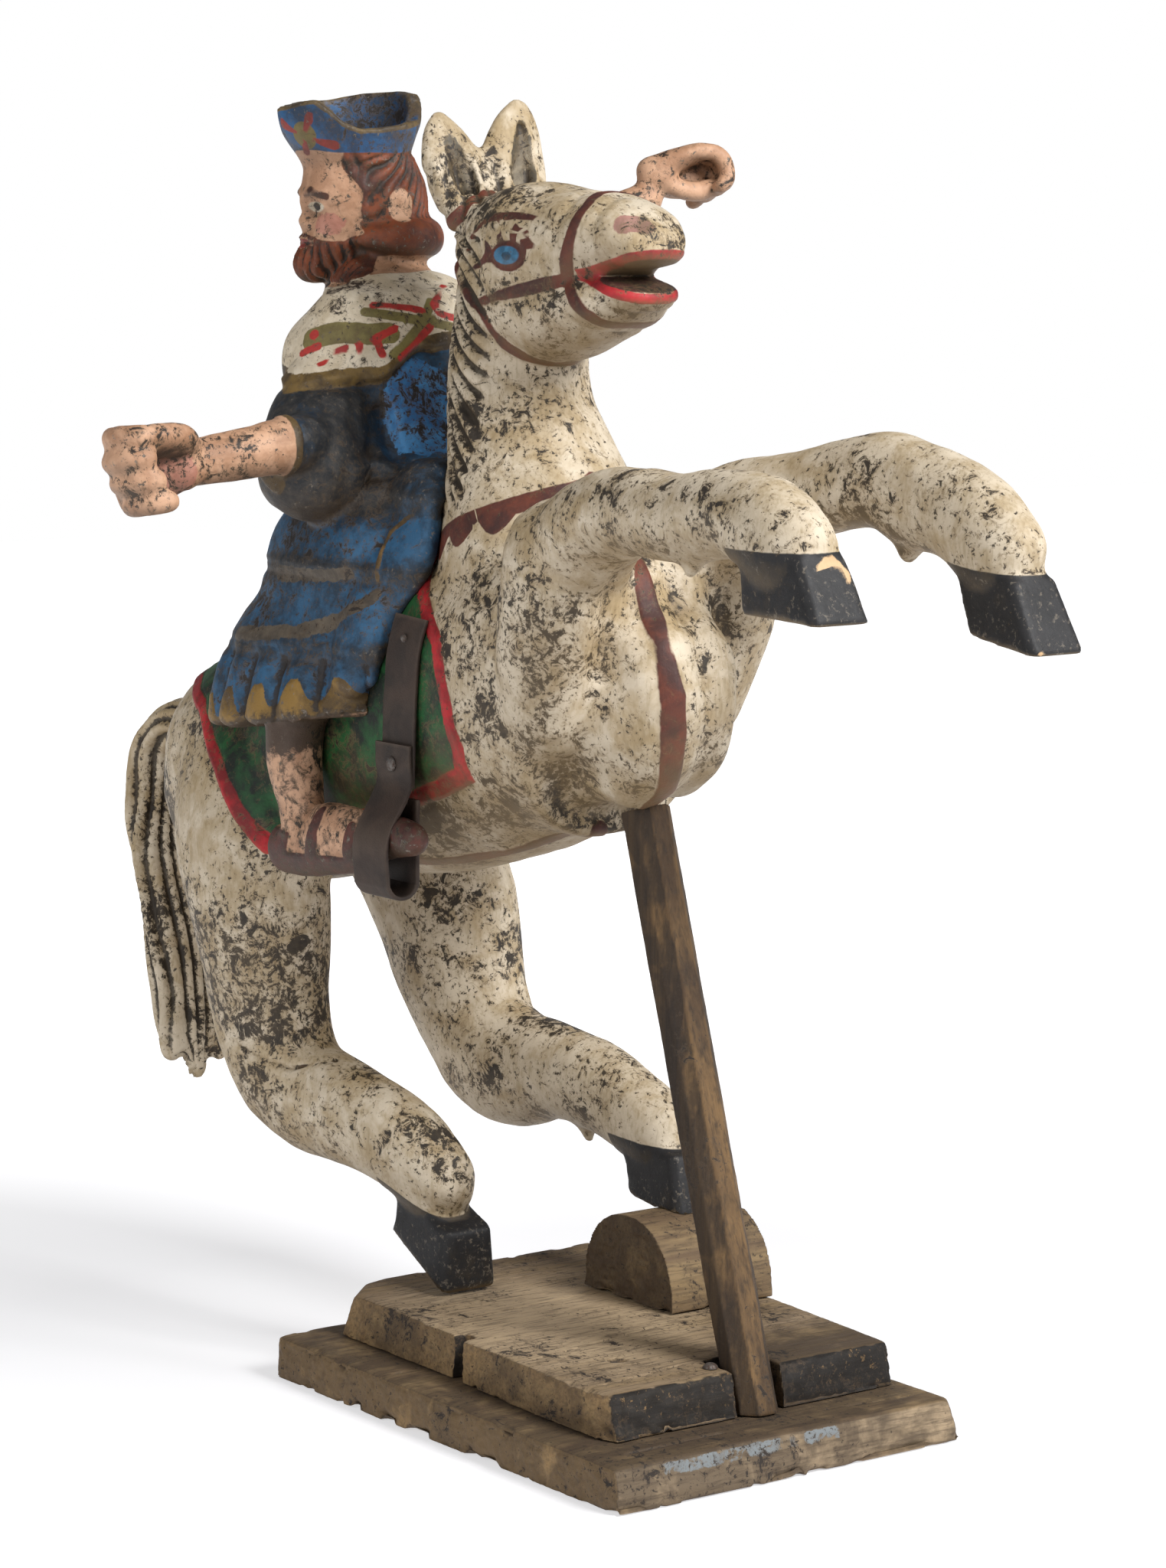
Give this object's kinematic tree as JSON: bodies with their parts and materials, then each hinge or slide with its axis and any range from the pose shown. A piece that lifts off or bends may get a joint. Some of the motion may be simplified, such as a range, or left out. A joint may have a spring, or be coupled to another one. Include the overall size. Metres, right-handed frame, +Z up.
{
  "type": "horse and rider carving",
  "caption": "Painted folk wood carving of a robed, bearded rider on a rearing horse, held by a post under the chest on stacked planks.",
  "frame": {"origin": "centre of the lower plank's length and width, on its underside", "axes": "+Z up; +X the way the horse faces; +Y to the horse's left"},
  "size_m": [0.8296, 0.4555, 0.7667],
  "materials": {
    "horse_paint": "worn cream paint on carved wood, with dark flecks",
    "rider_paint": "worn blue, cream and flesh paint on carved wood",
    "base_plank": "weathered bare plank with remnants of grey-blue paint",
    "post_wood": "hewn bare wood, worn smooth",
    "strap_leather": "old dry leather",
    "old_iron": "dull rusted iron"
  },
  "bodies": {
    "root": {"horse": "horse_paint", "rider": "rider_paint", "base_board_lower": "base_plank", "base_board_upper": "base_plank", "hoof_block": "base_plank", "chest_post": "post_wood", "stirrup_strap_right": "strap_leather", "stirrup_strap_left": "strap_leather", "stirrup_loop_right": "strap_leather", "stirrup_loop_left": "strap_leather", "rivet_right": "old_iron", "rivet_left": "old_iron", "strap_nail_right": "old_iron", "strap_nail_left": "old_iron", "slot_nail_a": "old_iron", "slot_nail_b": "old_iron"}
  },
  "joints": []
}
